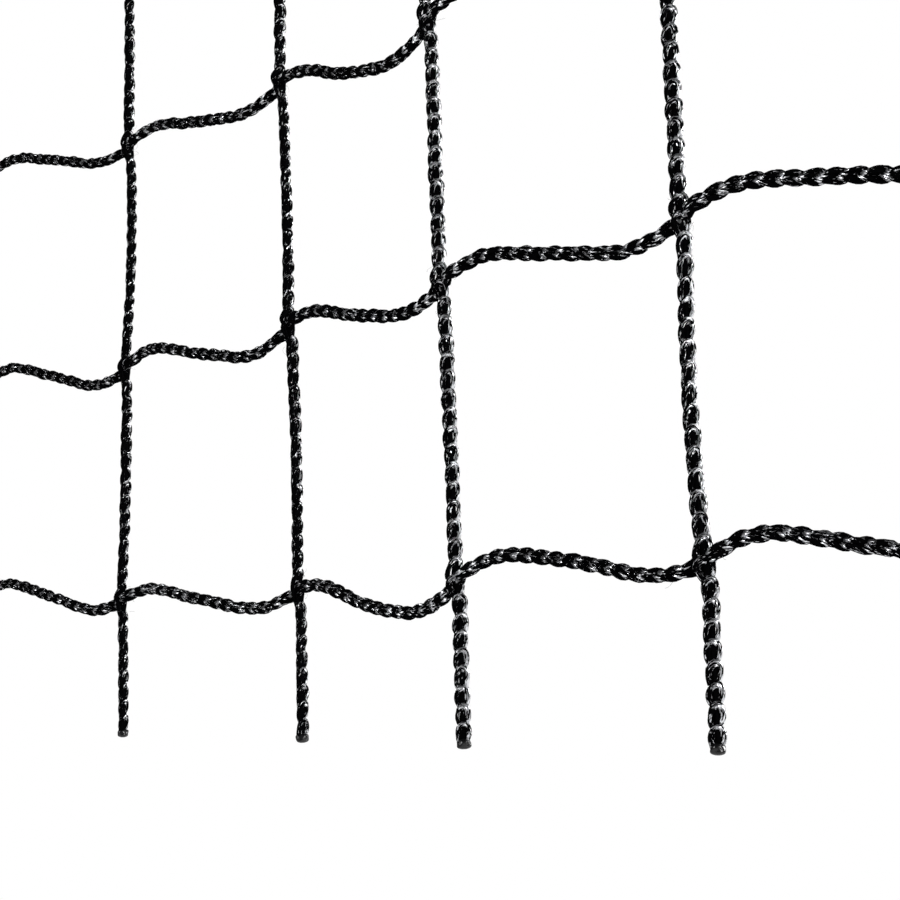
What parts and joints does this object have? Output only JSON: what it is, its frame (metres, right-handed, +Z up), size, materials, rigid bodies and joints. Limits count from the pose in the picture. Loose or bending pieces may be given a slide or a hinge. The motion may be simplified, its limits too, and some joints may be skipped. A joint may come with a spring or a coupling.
{
  "type": "hockey goal netting panel",
  "caption": "Flat section of black knotless square-mesh cord netting that laces over a goal frame and stops the puck.",
  "frame": {"origin": "on the top cross cord, midway along it: the line on which the section is laced up", "axes": "+X along the cross cords, +Z up along the upright cords, +Y through the net towards the inside of the goal"},
  "size_m": [0.3537, 0.0044, 0.2787],
  "materials": {
    "knitted_cord": "black multifilament yarn knitted as a chain of loops, glossy filaments, dark gaps between the loops"
  },
  "bodies": {
    "root": {"upright_cord_1": "knitted_cord", "upright_cord_2": "knitted_cord", "upright_cord_3": "knitted_cord", "upright_cord_4": "knitted_cord", "upright_cord_5": "knitted_cord", "upright_cord_6": "knitted_cord", "upright_cord_7": "knitted_cord", "upright_cord_8": "knitted_cord", "cross_cord_1": "knitted_cord", "cross_cord_2": "knitted_cord", "cross_cord_3": "knitted_cord", "cross_cord_4": "knitted_cord", "cross_cord_5": "knitted_cord", "cross_cord_6": "knitted_cord"}
  },
  "joints": []
}
